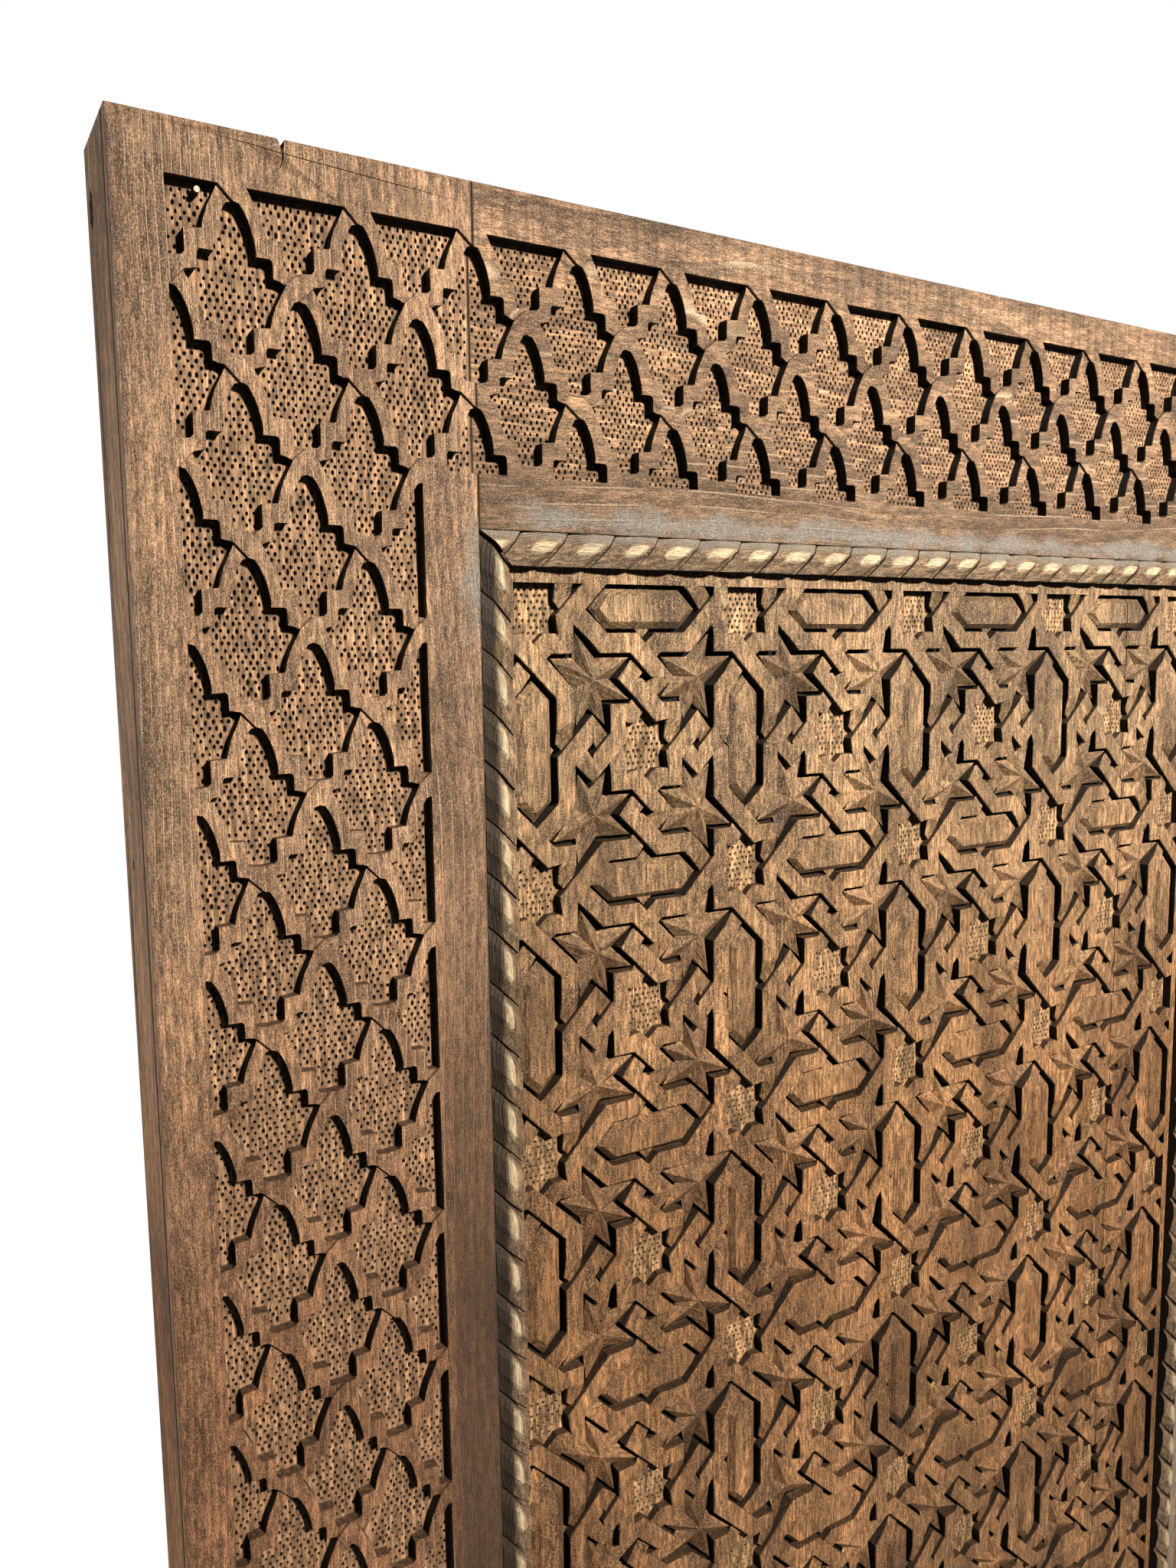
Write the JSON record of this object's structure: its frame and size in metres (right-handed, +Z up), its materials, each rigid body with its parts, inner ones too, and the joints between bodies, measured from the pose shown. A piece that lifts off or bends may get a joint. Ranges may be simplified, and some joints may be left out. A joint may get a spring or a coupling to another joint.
{
  "type": "carved door",
  "caption": "Carved wooden door leaf: a frame with a net of leaf cells, rope mouldings and a field of boards with a star interlace.",
  "frame": {"origin": "middle of the right-hand side face, the edge that is taken to be the hinge edge", "axes": "+Z up the height, -Y out of the carved front, +X from the lock edge to the hinge edge"},
  "size_m": [1.212, 0.077, 1.953],
  "materials": {
    "frame_wood": "satin, brown stain, worn edges",
    "rope_wood": "satin, brown stain, rubbed crests",
    "board_wood": "satin, brown stain",
    "peg_wood": "bare"
  },
  "bodies": {
    "root": {"stile_left": "frame_wood", "stile_right": "frame_wood", "rail_top": "frame_wood", "rail_bottom": "frame_wood", "moulding_top": "rope_wood", "moulding_bottom": "rope_wood", "moulding_left": "rope_wood", "moulding_right": "rope_wood", "board_1": "board_wood", "board_2": "board_wood", "board_3": "board_wood", "board_4": "board_wood", "peg": "peg_wood"}
  },
  "joints": []
}
